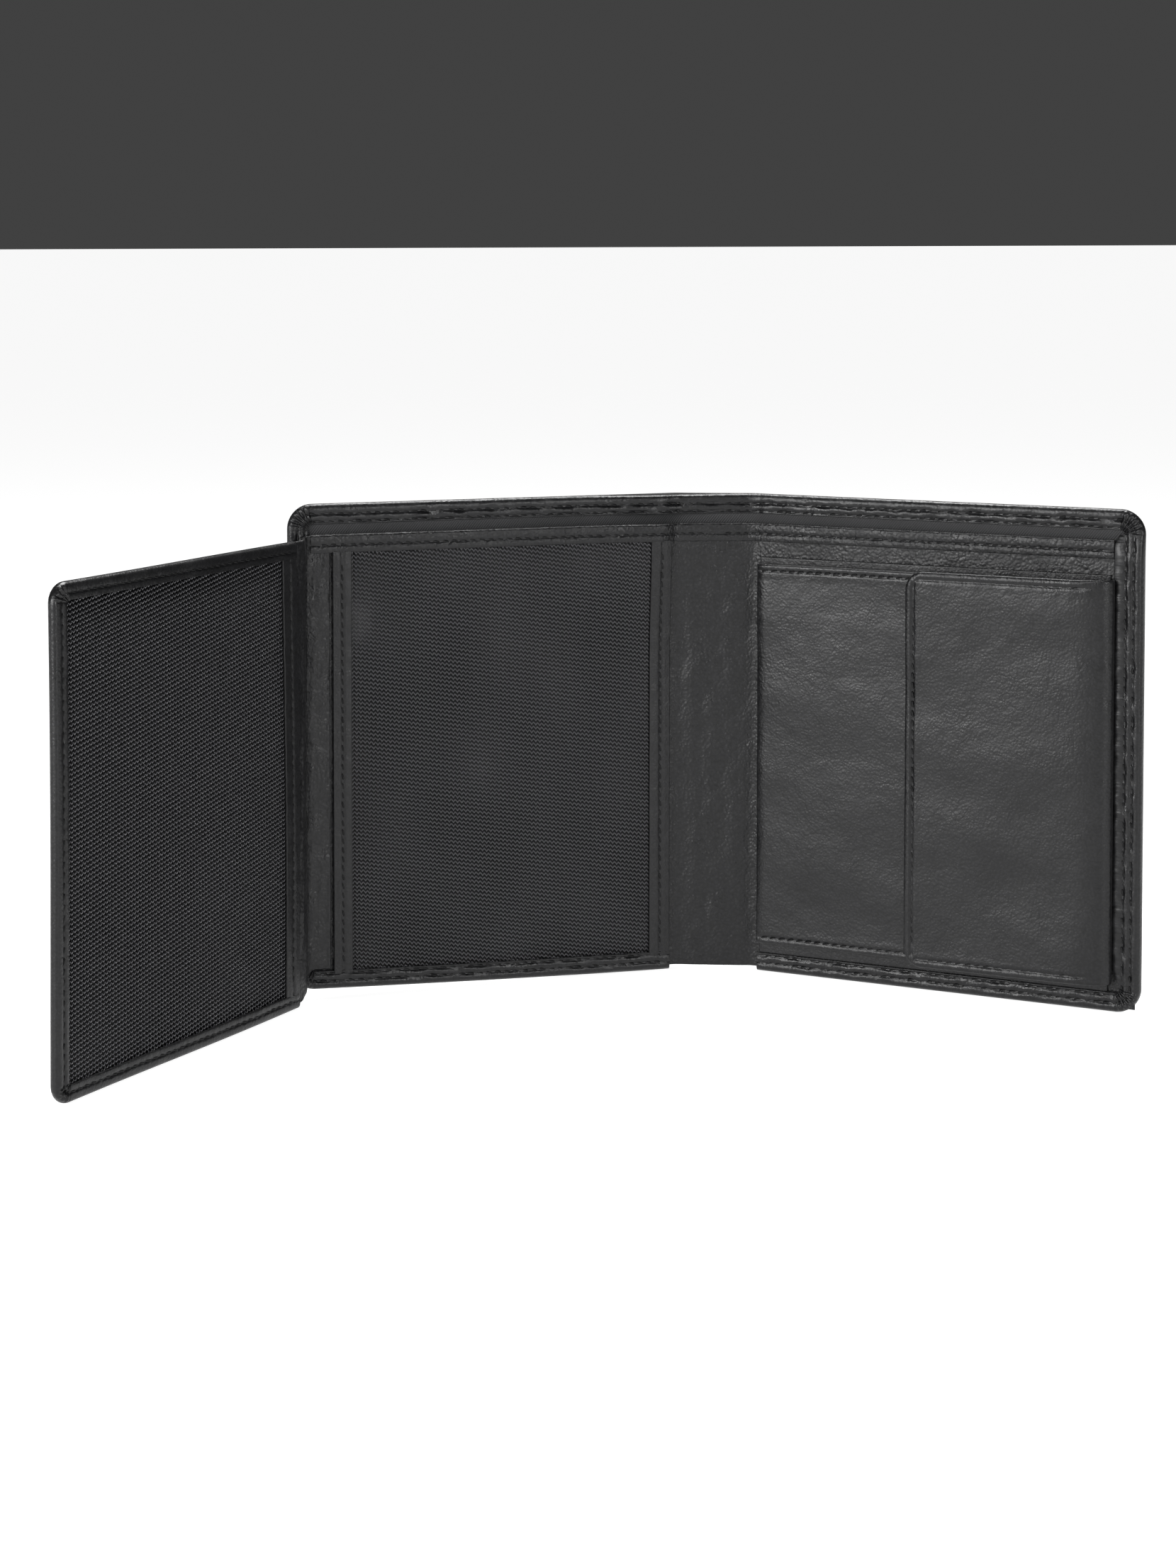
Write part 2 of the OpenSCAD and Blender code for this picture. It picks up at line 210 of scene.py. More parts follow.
def sheetShell(box, depth, thick, place=flatPlace, step=1.3, edge=0.3, radii=None, swell=None, relief=None,
               rearRelief=None, seams=(), cut=None, weldCut=False):
    # a closed sheet of leather or cloth with rounded edges; swell moves both faces, a relief only one.
    # cut names the side where it meets its other half, which stays square; weldCut shares that rim's corners
    nearEdge = [0, 0.04, 0.12, edge * 0.5 + 0.08, edge + 0.05, edge + 0.5]
    x, z = spreadLines(box[0], box[1], step, nearEdge), spreadLines(box[2], box[3], step, nearEdge)
    for (xa, za), (xb, zb) in seams:
        for offset in seam["lines"]:
            if abs(xa - xb) < 1e-6:
                x = np.append(x[np.abs(x - xa - offset) > seam["gap"]], xa + offset)
            else:
                z = np.append(z[np.abs(z - za - offset) > seam["gap"]], za + offset)
    x, z = np.sort(x), np.sort(z)
    x, z = np.meshgrid(x, z, indexing="ij")
    farAway = 99.0   # a cut side doesn't count as an edge
    toLow, toHigh = (x - box[0] if cut != "low" else farAway), (box[1] - x if cut != "high" else farAway)
    inset = np.clip(np.minimum(np.minimum(toLow, toHigh), np.minimum(z - box[2], box[3] - z)), 0, None)
    x, z = roundCorners(x, z, box, radii)
    roundness = np.sqrt(np.clip(1 - (1 - np.clip(inset / edge, 0, 1)) ** 2, 0, 1))
    middle = depth + thick / 2 + (swell(x, z) if swell else 0)
    front = middle + roundness * (thick / 2 + seamRelief(x, z, seams) + (relief(x, z, inset) if relief else 0))
    rear = middle - roundness * (thick / 2 + (rearRelief(x, z, inset) if rearRelief else 0))
    frontIndex = np.arange(x.size).reshape(x.shape)
    rearIndex = frontIndex + x.size
    border = np.zeros(x.shape, bool)
    border[[0, -1], :] = border[:, [0, -1]] = True
    if cut:
        border[0 if cut == "low" else -1, 1:-1] = False
    rearIndex[border] = frontIndex[border]
    points = np.concatenate([place(x, front, z).reshape(-1, 3), place(x, rear, z).reshape(-1, 3)])
    uv = np.concatenate([np.stack([x, z], -1).reshape(-1, 2), np.stack([x + 240, z], -1).reshape(-1, 2)])
    faces = [quadGrid(frontIndex), quadGrid(rearIndex, True)]
    if cut:   # the cut's rim has its own corners, so that its square edge isn't shaded round
        side = 0 if cut == "low" else -1
        rim = np.stack([frontIndex[side], rearIndex[side]], 0)
        own = rim if weldCut else np.arange(rim.size).reshape(rim.shape) + len(points)
        faces += [quadGrid(own[:, 1:-1]), [[own[0, 0], own[0, 1], own[1, 1]]], [[own[0, -1], own[1, -2], own[0, -2]]]]
        if not weldCut:
            rim = rim.ravel()
            points, uv = np.concatenate([points, points[rim]]), np.concatenate([uv, uv[rim]])
    return {"points": points, "faces": faces, "uv": uv}


def edgePath(corners, radius, step):
    # a path along an edge in x and z, with round right-angle corners; inward points into the panel
    corners = np.array(corners, float)
    heading = np.diff(corners, axis=0)
    length = np.hypot(*heading.T)
    heading /= length[:, None]
    spin = np.sign(heading[0][0] * heading[1][1] - heading[0][1] * heading[1][0]) if len(heading) > 1 else 1
    at, inward, bend = [], [], []
    for k, (start, way) in enumerate(zip(corners[:-1], heading)):
        begin = radius if k else 0
        stop = length[k] - (radius if k < len(heading) - 1 else 0)
        for t in np.linspace(begin, stop, max(2, round((stop - begin) / step) + 1)):
            at.append(start + way * t)
            inward.append(np.array([-way[1], way[0]]) * spin)
            bend.append(0)
        if k < len(heading) - 1:
            after = heading[k + 1]
            centre = corners[k + 1] - way * radius + after * radius
            turns = max(8, round(radius * 1.5708 / (step * 0.55)))
            for j in range(1, turns):
                angle = j / turns * math.pi / 2
                inward.append(after * math.cos(angle) - way * math.sin(angle))
                at.append(centre - inward[-1] * radius)
                bend.append(j / turns)
    at, inward = np.array(at), np.array(inward)
    along = np.concatenate([[0], np.cumsum(np.hypot(*np.diff(at, axis=0).T))])
    return {"at": at, "inward": inward, "along": along, "bend": np.array(bend, float)}


def sweepShell(path, profile, place=flatPlace, uvShift=0.0):
    # profile is (path points, outline points, 2): distance in from the edge, and depth
    rows, count = profile.shape[:2]
    x = path["at"][:, 0, None] + path["inward"][:, 0, None] * profile[..., 0]
    z = path["at"][:, 1, None] + path["inward"][:, 1, None] * profile[..., 0]
    points = place(x, profile[..., 1], z).reshape(-1, 3)
    index = np.arange(rows * count).reshape(rows, count)
    index = np.concatenate([index, index[:, :1]], axis=1)
    steps = np.hypot(*np.diff(profile[0], axis=0).T)
    across = np.concatenate([[0], np.cumsum(steps)])
    uv = np.stack(np.meshgrid(path["along"] + uvShift, across, indexing="ij"), -1).reshape(-1, 2)
    ends = np.concatenate([points[:count], points[-count:]])   # end caps have their own corners
    caps = [[list(range(rows * count, rows * count + count))],
            [list(range(rows * count + 2 * count - 1, rows * count + count - 1, -1))]]
    return {"points": np.concatenate([points, ends]), "faces": [quadGrid(index), *caps],
            "uv": np.concatenate([uv, uv[:count], uv[-count:]])}


def outlineRows(outline, shape):   # (distance in, depth) pairs of an outline, for every point of a path
    return np.stack([np.stack([np.broadcast_to(d, shape), np.broadcast_to(u, shape)], -1) for d, u in outline], 1)


def turnedEdge(path, thick, width, rows, junction, looks, insideFrom=1.0, hemThick=0.7, seed=1):
    # outline of leather turned over an edge: outer face, rounded edge, sewn hem on the inner face
    along = path["along"]
    thick, width = (np.broadcast_to(value, along.shape).astype(float) for value in (thick, width))
    hole = (0.5 + 0.5 * np.cos(2 * np.pi * along / seam["pitch"])) ** 2
    corner = np.sin(np.pi * path["bend"]) ** 0.5
    pleats = np.cos(2 * np.pi * looks["pleats"] * path["bend"])
    near = {0.02, 0.09, 0.2, 0.4, 0.7, 1.05, 1.5, *(row + o for row in rows for o in (-0.5, -0.25, 0, 0.25, 0.5))}
    if len(rows) > 1:
        near.add((rows[0] + rows[-1]) / 2)
    near = sorted(near)

    def drop(d, inner):   # how far the surface lies below the full thickness
        edge = thick / 2 * (1 - np.sqrt(np.clip(1 - (1 - np.clip(d / looks["roundOff"], 0, 1)) ** 2, 0, 1)))
        for row in rows:
            edge = edge + np.exp(-((d - row) / seam["width"]) ** 2) * (looks["groove"] + looks["hole"] * hole)
            edge = edge - looks["puff"] * np.exp(-((abs(d - row) - 0.85) / 0.45) ** 2)
        gather = corner * softStep(d / 0.9) * looks["pleat"] * pleats
        if not inner:
            return edge - 0.25 * gather
        ruffle = 0.6 * waver(along, d, 1.0, seed) + 0.5 * waver(along, 3 * d, 2.2, seed + 1)
        return edge - softStep((d - 1.3) / 0.7) * looks["ruffle"] * ruffle - gather

    hemBack = thick - hemThick
    fullness = thick - drop(width - 0.2, True)
    outline = [(junction + 0.1, insideFrom * 0.6), (junction + 0.05, 0.3)]
    outline += [(d, drop(d, False)) for d in reversed(near) if d < junction]
    outline += [(0.0, thick / 2)]
    outline += [(d, thick - drop(d, True)) for d in near if d < width.min() - 0.3]
    outline += [(width - 0.16, fullness), (width - 0.02, fullness - 0.1), (width, fullness - 0.3),   # the hem's raw end
                (width - 0.1, hemBack + 0.02), (width - 0.4, hemBack), (1.35, hemBack),
                (1.25, (insideFrom + hemBack) / 2 - 0.01), (1.3, insideFrom), (junction, insideFrom)]
    return outlineRows(outline, along.shape)


def strandShell(centres, across, halfWidth, halfHeight, sides=4, place=flatPlace):
    # strands (n, points, 3) in flat x, u, z; each has a ring of sides round it and closed ends
    count, points = centres.shape[:2]
    angle = np.arange(sides) * 2 * np.pi / sides
    halfWidth, halfHeight = (np.broadcast_to(h, (count, points))[..., None, None] for h in (halfWidth, halfHeight))
    ring = centres[:, :, None, :] + across[:, :, None, :] * (np.cos(angle)[:, None] * halfWidth)
    ring = ring + np.array([0, 1, 0]) * (np.sin(angle)[:, None] * halfHeight)
    placed = place(ring[..., 0], ring[..., 1], ring[..., 2]).reshape(-1, 3)
    index = np.arange(count * points * sides).reshape(count, points, sides)
    wrapped = np.concatenate([index, index[:, :, :1]], 2)
    corners = [wrapped[:, :-1, :-1], wrapped[:, 1:, :-1], wrapped[:, 1:, 1:], wrapped[:, :-1, 1:]]
    pattern = ring[..., 0] + ring[..., 2], np.arange(sides) * 0.4 + ring[..., 2] * 0.1   # it winds round the strand
    uv = np.stack(np.broadcast_arrays(*pattern), -1).reshape(-1, 2)
    return {"points": placed, "uv": uv,
            "faces": [np.stack(corners, -1).reshape(-1, 4), index[:, 0, ::-1], index[:, -1]]}


stitch = {
    "half": 0.86, "thick": 0.19, "slant": 0.17, "proud": 0.04,
    "along": (-1.0, -0.86, -0.5, 0, 0.5, 0.86, 1.0),          # shares of half a stitch
    "lift": (-0.34, -0.06, 0.08, 0.1, 0.08, -0.06, -0.34),    # both ends go down into their holes
    "fat": (0.5, 0.9, 1, 1, 1, 0.9, 0.5),
}


def stitchShell(path, inset, surface, outward=1, place=flatPlace, span=None):
    # single stitches along a path, each sunk into the leather at both ends
    length = path["along"][-1]
    start, stop = span or (0.6, length - 0.6)
    first, last = math.ceil(start / seam["pitch"]), math.floor(stop / seam["pitch"])
    middles = (np.arange(first, last) + 0.5) * seam["pitch"]
    step = np.array(stitch["along"]) * stitch["half"]
    lift = np.array(stitch["lift"]) + stitch["proud"] - max(stitch["lift"])
    fat = np.array(stitch["fat"]) * stitch["thick"]
    spots = middles[:, None] + step
    pick = lambda values: np.interp(spots, path["along"], values)
    x, z, nx, nz = (pick(path[k][:, i]) for k in ("at", "inward") for i in (0, 1))
    depth = pick(np.broadcast_to(surface, path["along"].shape)) + outward * lift
    aside = inset + stitch["slant"] * step / stitch["half"]
    centres = np.stack([x + nx * aside, depth, z + nz * aside], -1)
    across = np.stack([nx, np.zeros_like(nx), nz], -1)
    return strandShell(centres, across, fat, fat, 5, place)


def seamPath(line):
    (xa, za), (xb, zb) = line
    return edgePath([(xa, za), (xb, zb)], 0, 0.7)


def buildPiece(name, shells, finish):
    shells = shells if isinstance(shells, list) else [shells]
    faces, start = [], 0
    for shell in shells:
        for group in shell["faces"]:
            faces.extend((np.asarray(group) + start).tolist())
        start += len(shell["points"])
    mesh = bpy.data.meshes.new(name)
    mesh.from_pydata(np.concatenate([s["points"] for s in shells]).tolist(), [], faces)
    uv = np.concatenate([s["uv"] for s in shells])
    corner = np.empty(len(mesh.loops), np.int32)
    mesh.loops.foreach_get("vertex_index", corner)
    mesh.uv_layers.new(name="pattern").data.foreach_set("uv", uv[corner].astype(np.float32).ravel())
    work = bmesh.new()
    work.from_mesh(mesh)
    bmesh.ops.recalc_face_normals(work, faces=work.faces)
    work.to_mesh(mesh)
    work.free()
    mesh.polygons.foreach_set("use_smooth", [True] * len(mesh.polygons))
    for layer in finish if isinstance(finish, tuple) else (finish,):
        mesh.materials.append(layer)
    ground = [bool(s.get("second")) for s in shells for group in s["faces"] for _ in group]
    mesh.polygons.foreach_set("material_index", np.array(ground, np.int32))
    piece = bpy.data.objects.new(name, mesh)
    bpy.context.scene.collection.objects.link(piece)
    return piece


def blendFold(piece, side):
    # leather that crosses a fold is already bent in flatPlace; this works out where the bend starts and ends, which
    # nothing uses, and bakes the piece's transform into its mesh
    x = 0 if side == "left" else spineWidth
    start, end = (flatPlace(x + reach, foldDepth, 0) for reach in (-foldReach, foldReach))
    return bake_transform(piece)


def smoothLine(knots, side):
    # a smooth line through knots: distances along it, its points, and normals on side 1 or -1
    knots = np.array(knots)
    knots = np.concatenate([[2 * knots[0] - knots[1]], knots, [2 * knots[-1] - knots[-2]]])
    line = []
    for p0, p1, p2, p3 in zip(knots, knots[1:], knots[2:], knots[3:]):
        for t in np.linspace(0, 1, 9)[:-1]:
            bend = (2 * p0 - 5 * p1 + 4 * p2 - p3) * t * t + (3 * p1 - p0 - 3 * p2 + p3) * t ** 3
            line.append(0.5 * (2 * p1 + (p2 - p0) * t + bend))
    line = np.array(line + [knots[-2]])
    along = np.concatenate([[0], np.cumsum(np.hypot(*np.diff(line, axis=0).T))])
    way = np.gradient(line, axis=0)
    way /= np.hypot(*way.T)[:, None]
    return along, line, side * np.stack([way[:, 1], -way[:, 0]], -1)
def toLinear(hexColour):
    channels = [int(hexColour[i:i + 2], 16) / 255 for i in (1, 3, 5)]
    return tuple(c / 12.92 if c <= 0.04045 else ((c + 0.055) / 1.055) ** 2.4 for c in channels) + (1.0,)


def addNode(tree, kind, settings=(), links=()):
    node = tree.nodes.new(kind)
    for name, value in dict(settings).items():
        if isinstance(name, str) and hasattr(node, name):
            setattr(node, name, value)
        else:
            node.inputs[name].default_value = value
    for name, source in dict(links).items():
        tree.links.new(source, node.inputs[name])
    return node


def startFinish(name, flat=True):
    # flat pieces carry their pattern in millimetres in their UVs; others use their own coordinates
    finish = bpy.data.materials.new(name)
    finish.use_nodes = True
    tree = finish.node_tree
    tree.nodes.clear()
    if flat:
        return finish, tree, addNode(tree, "ShaderNodeUVMap", {"uv_map": "pattern"}).outputs[0]
    own = addNode(tree, "ShaderNodeTexCoord").outputs["Object"]
    return finish, tree, addNode(tree, "ShaderNodeMapping", {"Scale": (1000, 1000, 1000)}, {"Vector": own}).outputs[0]


def endFinish(tree, settings, links):
    shader = addNode(tree, "ShaderNodeBsdfPrincipled", settings, links)
    addNode(tree, "ShaderNodeOutputMaterial", links={"Surface": shader.outputs[0]})


def addBump(tree, depth, height, below=None, invert=False):   # depth in mm; below is the bump it lies on
    links = {"Height": height} if below is None else {"Height": height, "Normal": below.outputs[0]}
    return addNode(tree, "ShaderNodeBump", {"Distance": depth * millimetre, "Strength": 1.0, "invert": invert}, links)


def addNoise(tree, place, size, detail, **settings):   # size in mm
    return addNode(tree, "ShaderNodeTexNoise", {"Scale": 1 / size, "Detail": detail, **settings}, {"Vector": place})


def addTone(tree, dark, light, share):
    return addNode(tree, "ShaderNodeMix", {"data_type": "RGBA", 6: toLinear(dark), 7: toLinear(light)}, {0: share})


def makeLeather(look):
    finish, tree, place = startFinish(look["name"])
    sway = addNoise(tree, place, 2.4, 2.0)
    bent = addNode(tree, "ShaderNodeVectorMath", {"operation": "MULTIPLY_ADD", 1: (0.9, 0.9, 0.9)},
                   {0: sway.outputs["Color"], 2: place})
    pebble = addNode(tree, "ShaderNodeTexVoronoi",
                     {"feature": "SMOOTH_F1", "Scale": 1 / look["grain"], "Smoothness": 0.6},
                     {"Vector": bent.outputs[0]})
    narrow, lengthwise = 1 / look["creaseWidth"], 1 / look["creaseLength"]
    stretched = addNode(tree, "ShaderNodeMapping",
                        {"Rotation": (0, 0, look["creaseTurn"]), "Scale": (narrow, lengthwise, narrow)},
                        {"Vector": place})
    crease = addNoise(tree, stretched.outputs[0], 1.0, 3.0, noise_type="RIDGED_MULTIFRACTAL", Distortion=0.5)
    swell = addNoise(tree, place, look["swell"], 3.0)
    patches = addNoise(tree, place, look["patch"], 4.0, Roughness=0.6)
    # painted shade: the colour darkens between the grain's pebbles, in the crevices where the grain bump sinks
    creviceShade = addNode(tree, "ShaderNodeMapRange", {"From Min": 0.15, "From Max": 0.75, "To Min": 1.0, "To Max": 0.0},
                    {"Value": pebble.outputs["Distance"]})
    shade = addNode(tree, "ShaderNodeMath", {"operation": "MULTIPLY"}, {0: patches.outputs[0], 1: creviceShade.outputs[0]})
    colour = addTone(tree, look["dark"], look["light"], shade.outputs[0])
    glossy, dull = look["roughness"]
    gloss = addNode(tree, "ShaderNodeMapRange", {"From Min": 0.3, "From Max": 0.7, "To Min": glossy, "To Max": dull},
                    {"Value": patches.outputs[0]})
    bump = addBump(tree, look["swellDepth"], swell.outputs[0])
    bump = addBump(tree, look["creaseDepth"], crease.outputs[0], bump, True)
    bump = addBump(tree, look["grainDepth"], pebble.outputs["Distance"], bump, True)
    endFinish(tree, {"IOR": 1.5, "Specular IOR Level": look["specular"],
                     "Sheen Weight": look["sheen"], "Sheen Roughness": 0.5},
              {"Base Color": colour.outputs[2], "Roughness": gloss.outputs[0], "Normal": bump.outputs[0]})
    return finish


def makeCloth(look):
    finish, tree, place = startFinish(look["name"])
    diagonal = addNode(tree, "ShaderNodeMapping", {"Rotation": (0, 0, math.radians(look["twill"]))}, {"Vector": place})
    ribs = addNode(tree, "ShaderNodeTexWave",
                   {"Scale": 1 / look["thread"] / 3.2, "Distortion": 0.8, "Detail": 2.0, "Detail Scale": 2.0},
                   {"Vector": diagonal.outputs[0]})
    patches = addNoise(tree, place, 14, 4.0)
    shade = addNode(tree, "ShaderNodeMath", {"operation": "MULTIPLY"}, {0: ribs.outputs["Fac"], 1: patches.outputs[0]})
    colour = addTone(tree, look["dark"], look["light"], shade.outputs[0])
    bump = addBump(tree, look["depth"], ribs.outputs["Fac"])
    endFinish(tree, {"Roughness": look["roughness"], "Sheen Weight": 0.15, "Specular IOR Level": 0.4},
              {"Base Color": colour.outputs[2], "Normal": bump.outputs[0]})
    return finish


def makeThread(look):
    finish, tree, place = startFinish(look["name"])
    twist = addNoise(tree, place, look["ply"], 2.0)
    colour = addTone(tree, look["dark"], look["light"], twist.outputs[0])
    bump = addBump(tree, look["depth"], twist.outputs[0])
    endFinish(tree, {"Roughness": look["roughness"], "Specular IOR Level": look["specular"]},
              {"Base Color": colour.outputs[2], "Normal": bump.outputs[0]})
    return finish


# Full-grain calf leather, dyed black and glazed: soft broad sheen over a fine pebbled grain
coverLeather = makeLeather({
    "name": "glazed_calf_leather", "dark": "#070708", "light": "#1c1c1e", "grain": 0.62, "grainDepth": 0.055,
    "creaseWidth": 3.0, "creaseLength": 7.0, "creaseTurn": 1.1, "creaseDepth": 0.010, "swell": 13.0, "swellDepth": 0.5,
    "patch": 9.0, "roughness": (0.28, 0.44), "specular": 0.34, "sheen": 0.03})
# The same hide split thinner: it lies softer, so it shows more small creases and a duller sheen
pocketLeather = makeLeather({
    "name": "split_calf_leather", "dark": "#070708", "light": "#1d1d1f", "grain": 0.58, "grainDepth": 0.055,
    "creaseWidth": 2.0, "creaseLength": 5.0, "creaseTurn": 0.9, "creaseDepth": 0.012, "swell": 9.0, "swellDepth": 0.3,
    "patch": 8.0, "roughness": (0.32, 0.48), "specular": 0.34, "sheen": 0.03})
# Leather that bends every time the wallet opens: deeper grain, small upright creases and a broken sheen
flexLeather = makeLeather({
    "name": "creased_calf_leather", "dark": "#060607", "light": "#1c1c1e", "grain": 0.75, "grainDepth": 0.13,
    "creaseWidth": 1.6, "creaseLength": 3.4, "creaseTurn": 0.3, "creaseDepth": 0.02, "swell": 6.0, "swellDepth": 0.35,
    "patch": 5.0, "roughness": (0.32, 0.5), "specular": 0.34, "sheen": 0.03})
# Woven polyester lining: matt black with a fine diagonal rib, 0.5 mm so that it shows
liningCloth = makeCloth({"name": "woven_polyester_lining", "dark": "#0b0b0c", "light": "#2e2e31", "thread": 0.5,
                         "twill": 38, "depth": 0.06, "roughness": 0.6})
# Multifilament black nylon in the open weave, coloured a lighter grey than it is: painted highlight, a bright line
# along each raised thread
highlitNetYarn = makeThread({"name": "nylon_net_yarn", "dark": "#1f1f21", "light": "#515155", "ply": 0.8, "depth": 0.03,
                        "roughness": 0.3, "specular": 1.0})
# The upright yarns lie underneath: duller, and the same nylon coloured near black as painted shade under the level
# threads, so they read as a dark ground
shadedNetYarn = makeThread({"name": "delustred_net_yarn", "dark": "#060607", "light": "#101012", "ply": 0.8,
                           "depth": 0.03, "roughness": 0.6, "specular": 0.3})
# Bonded polyester sewing thread: nearly black, dull, with a fine twist
sewingThread = makeThread({"name": "bonded_sewing_thread", "dark": "#050505", "light": "#141415", "ply": 0.3,
                           "depth": 0.04, "roughness": 0.62, "specular": 0.3})


def makeBoard():
    # Bonded leather board, pressed from black fibres: matt with a faint mottle
    finish, tree, place = startFinish("bonded_fibre_board", flat=False)
    fibres = addNoise(tree, place, 0.8, 5.0)
    colour = addTone(tree, "#070707", "#141414", fibres.outputs[0])
    bump = addBump(tree, 0.03, fibres.outputs[0])
    endFinish(tree, {"Roughness": 0.8, "Specular IOR Level": 0.2},
              {"Base Color": colour.outputs[2], "Normal": bump.outputs[0]})
    return finish


def makeNickel():
    # Nickel-plated brass stud: bright, with fine wear scratches that soften the mirror
    finish, tree, place = startFinish("nickel_plated_brass", flat=False)
    scratches = addNoise(tree, place, 0.5, 6.0, Distortion=1.5)
    gloss = addNode(tree, "ShaderNodeMapRange", {"To Min": 0.18, "To Max": 0.36}, {"Value": scratches.outputs[0]})
    colour = addTone(tree, "#a9a59c", "#c9c5bb", scratches.outputs[0])
    endFinish(tree, {"Metallic": 1.0}, {"Base Color": colour.outputs[2], "Roughness": gloss.outputs[0]})
    return finish


boardFinish, nickelFinish = makeBoard(), makeNickel()
for node, finish in (("left_stiffener", boardFinish), ("right_stiffener", boardFinish),
                     ("wing_board", boardFinish), ("stud_post", nickelFinish), ("stud_socket", nickelFinish)):
    holder = frame["nodes"][node]
    holder.data.materials.clear()
    holder.data.materials.append(finish)
print("finishes made")

cover = {
    "thick": 1.0, "corner": 6.0, "junction": 4.35, "hem": 4.9, "sideHem": 7.0,
    "topThick": 2.4, "leftBottomThick": 4.1, "rightThick": 3.7, "rows": (2.4, 4.3),
    "spineLow": 1.0, "hemStart": 2.0, "wave": 0.22,
}
edgeLook = {"roundOff": 1.15, "groove": 0.15, "hole": 0.22, "puff": 0.08, "ruffle": 0.17, "pleat": 0.34, "pleats": 6}
overlap = 0.05                               # a sheet reaches this far under its turned edge
halfway = spineWidth / 2
cutSide = {"left": "high", "right": "low"}   # where each half of a long sheet meets the other


def coverWave(x, z):
    return cover["wave"] * waver(x, z, 22, 3) * softStep((60 - abs(z - 60)) / 12)


def coverHalf(side):
    outerX = -panelWidth if side == "left" else right(panelWidth)
    way = -1 if side == "left" else 1
    startX = -cover["hemStart"] if side == "left" else right(cover["hemStart"])
    corners = [(startX, coverLow), (outerX, coverLow), (outerX, coverHigh), (halfway, coverHigh)]
    path = edgePath(corners, cover["corner"], 0.7)
    along = path["along"]
    first = panelWidth - cover["hemStart"]                  # the lower corner
    second = first + coverHigh - coverLow - 2.6             # the upper corner
    if side == "left":
        thinner = softStep((along - first + 5) / 8)
        thick = cover["leftBottomThick"] + (cover["topThick"] - cover["leftBottomThick"]) * thinner
        width = np.full_like(along, cover["hem"])
    else:
        thinner = softStep((along - second + 12) / 9)
        thick = cover["rightThick"] + (cover["topThick"] - cover["rightThick"]) * thinner
        ramp = softStep((along - first - 3) / 6) * softStep((second - 3 - along) / 6)
        width = cover["hem"] + (cover["sideHem"] - cover["hem"]) * ramp
    profile = turnedEdge(path, thick, width, cover["rows"], cover["junction"], edgeLook,
                         seed=5 if side == "left" else 9)
    roll = sweepShell(path, profile)
    inner = outerX - way * (cover["junction"] - overlap)
    low, high = coverLow + cover["junction"] - overlap, coverHigh - cover["junction"] + overlap
    box = (*sorted((inner, halfway)), low, high)
    radii = {f"{side} top": 1.7, f"{side} bottom": 1.7}

    def lowerSpine(x, u, z):   # over the spine the cover leather runs down to its raw lower edge
        over = softStep((x + cover["hemStart"] + 0.6) / 1.2) * softStep((right(cover["hemStart"]) + 0.6 - x) / 1.2)
        return flatPlace(x, u, z - over * (low - cover["spineLow"]) * np.clip(1 - (z - low) / 30, 0, 1))

    sheet = sheetShell(box, 0, cover["thick"], place=lowerSpine, edge=0.35, radii=radii, swell=coverWave,
                       cut=cutSide[side])
    piece = buildPiece(f"cover_{side}", [roll, sheet], coverLeather)
    inside = [stitchShell(path, row, thick - 0.16) for row in cover["rows"]]
    outside = [stitchShell(path, row, 0.14, outward=-1) for row in cover["rows"]]
    return piece, inside + outside


coverLeft, leftStitches = coverHalf("left")
coverRight, rightStitches = coverHalf("right")
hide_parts("left_cover", "spine_cover", "left_top_hem", "spine_top_hem", "left_side_hem",
            "left_bottom_hem")
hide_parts("right_cover", "right_top_hem", "right_side_hem", "right_bottom_hem")
blendFold(coverLeft, "left")
blendFold(coverRight, "right")

lining = {"depth": 1.4, "thick": 0.3, "inset": 1.4, "wave": 0.12, "corner": 4.6}


def liningWave(x, z):
    return lining["wave"] * waver(x, z, 13, 21) + 0.04


for side in ("left", "right"):
    low, high = coverLow + lining["inset"], coverHigh - lining["inset"]
    outer = -panelWidth + lining["inset"] if side == "left" else right(panelWidth) - lining["inset"]
    box = (*sorted((outer, halfway)), low, high)
    radii = {f"{side} top": lining["corner"], f"{side} bottom": lining["corner"]}
    sheet = sheetShell(box, lining["depth"], lining["thick"], edge=0.15, step=2.0, radii=radii, swell=liningWave,
                       cut=cutSide[side], weldCut=True)
    piece = buildPiece(f"lining_{side}", sheet, liningCloth)
    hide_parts(*(("left_lining", "spine_lining") if side == "left" else ("right_lining",)))
    blendFold(piece, side)
print("cover and lining made")

divider = {
    "depth": 2.1, "thick": 0.8, "binding": 4.5, "leftFace": 4.1, "spineFace": 3.6, "row": 2.6,
    "leftEnd": 93.3, "rightEnd": 97.2, "bindingEnd": 91.4, "wave": 0.10,
}
bindingLook = dict(edgeLook, roundOff=0.6, ruffle=0.07, pleat=0.0, hole=0.2, puff=0.06)


def dividerWave(x, z):
    return divider["wave"] * waver(x, z, 14, 31)


def spineCreases(x, z, inset):   # upright folds that the leather keeps over the spine
    near = softStep((x + 2) / 4) * softStep((spineWidth + 3 - x) / 4)
    return near * (0.07 * waver(x * 2.2, z * 0.6, 5, 33) + 0.09 * waver(x * 1.3, z * 1.0, 4.0, 34))


